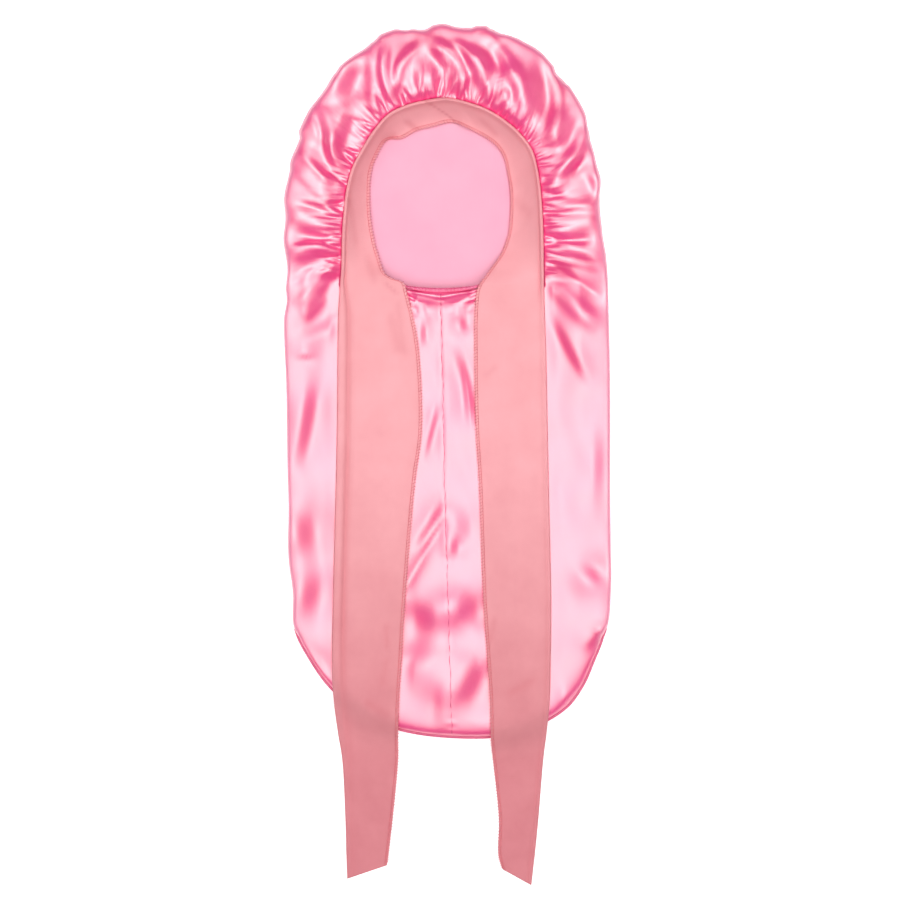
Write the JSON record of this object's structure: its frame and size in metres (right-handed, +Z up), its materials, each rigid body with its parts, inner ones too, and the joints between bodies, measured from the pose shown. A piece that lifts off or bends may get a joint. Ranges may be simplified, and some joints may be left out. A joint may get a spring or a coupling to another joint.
{
  "type": "sleep bonnet",
  "caption": "Extra-long satin sleep bonnet for braids, lying flat: gathered hollow crown round a face opening, knit band that ends in long ties, and a closed sleeve.",
  "frame": {"origin": "middle of the lying bonnet's outline, on the surface it rests on", "axes": "+Z up from the table, the face opening looks up; +Y from the ties' tips towards the crown; +X to the right seen from above with the crown away from the viewer"},
  "size_m": [0.3278, 0.8611, 0.0437],
  "materials": {
    "satin": "glossy pink satin, paler and dull on its inner side",
    "satin_casing": "doubled and gathered pink satin",
    "knit": "matte salmon knit jersey"
  },
  "bodies": {
    "root": {"satin_bag": "satin", "nape_casing": "satin_casing", "hem_seam": "satin_casing", "head_band": "knit", "tie_left": "knit", "tie_right": "knit"}
  },
  "joints": []
}
